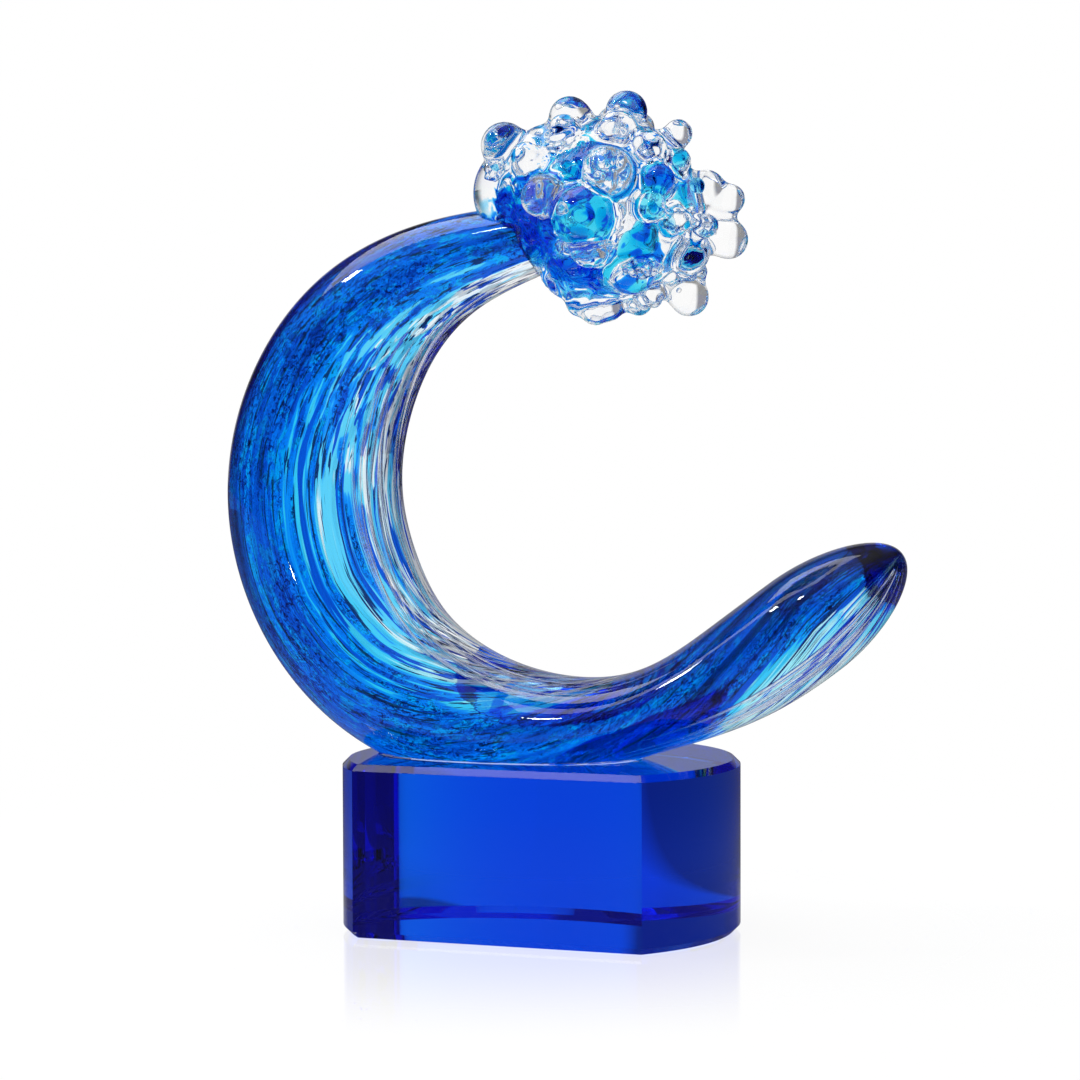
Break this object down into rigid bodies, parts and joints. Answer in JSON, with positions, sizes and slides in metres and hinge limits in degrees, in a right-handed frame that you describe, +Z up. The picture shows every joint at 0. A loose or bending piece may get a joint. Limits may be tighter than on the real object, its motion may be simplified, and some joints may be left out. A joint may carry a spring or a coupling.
{
  "type": "glass wave sculpture",
  "caption": "Hand-worked curling wave of blue cased glass with a foamy crest of clear drops, cemented to a cobalt crystal block with a flat front.",
  "frame": {"origin": "underside of the crystal block, on the axis of its round wall", "axes": "+Z up, the flat ground front of the block faces -Y, the wave curls in the XZ plane with its belly towards -X and its tail towards +X"},
  "size_m": [0.1784, 0.083, 0.2089],
  "materials": {
    "cobalt_crystal": "lead-free crystal, ground and polished, with bevelled rims",
    "clear_glass": "hot-worked, fire polished",
    "aqua_glass": "hot-worked, streaked gather cased in clear",
    "cobalt_glass": "hot-worked gather with fine dark flecks",
    "clear_cement": "clear light-cured cement"
  },
  "bodies": {
    "root": {"base_block": "cobalt_crystal", "crest_casing": "clear_glass", "crest_lump": "cobalt_glass", "foam_drop_01": "clear_glass", "foam_drop_02": "clear_glass", "foam_drop_03": "clear_glass", "foam_drop_04": "clear_glass", "foam_drop_05": "clear_glass", "foam_drop_06": "clear_glass", "foam_drop_07": "clear_glass", "foam_drop_08": "clear_glass", "foam_drop_09": "clear_glass", "foam_drop_10": "aqua_glass", "foam_drop_11": "clear_glass", "foam_drop_12": "clear_glass", "foam_drop_13": "clear_glass", "foam_drop_14": "clear_glass", "foam_drop_15": "clear_glass", "foam_drop_16": "clear_glass", "foam_drop_17": "clear_glass", "foam_drop_18": "clear_glass", "foam_drop_19": "clear_glass", "foam_drop_20": "aqua_glass", "foam_drop_21": "aqua_glass", "foam_drop_22": "aqua_glass", "foam_drop_23": "clear_glass", "foam_drop_24": "clear_glass", "foam_drop_25": "aqua_glass", "foam_drop_26": "clear_glass", "foam_drop_27": "clear_glass", "foam_drop_28": "clear_glass", "foam_drop_29": "clear_glass", "foam_drop_30": "clear_glass", "foam_drop_31": "clear_glass", "foam_drop_32": "clear_glass", "foam_drop_33": "clear_glass", "foam_drop_34": "clear_glass", "foam_drop_35": "clear_glass", "foam_drop_36": "clear_glass", "foam_drop_37": "clear_glass", "foam_drop_38": "clear_glass", "foam_drop_39": "clear_glass", "foam_drop_40": "clear_glass", "foam_drop_41": "clear_glass", "foam_drop_42": "clear_glass", "foam_drop_43": "clear_glass", "foam_drop_44": "clear_glass", "foam_drop_45": "clear_glass", "foam_drop_46": "clear_glass", "glue_film": "clear_cement", "wave_casing": "clear_glass", "wave_core": "cobalt_glass", "wave_veil": "aqua_glass"}
  },
  "joints": []
}
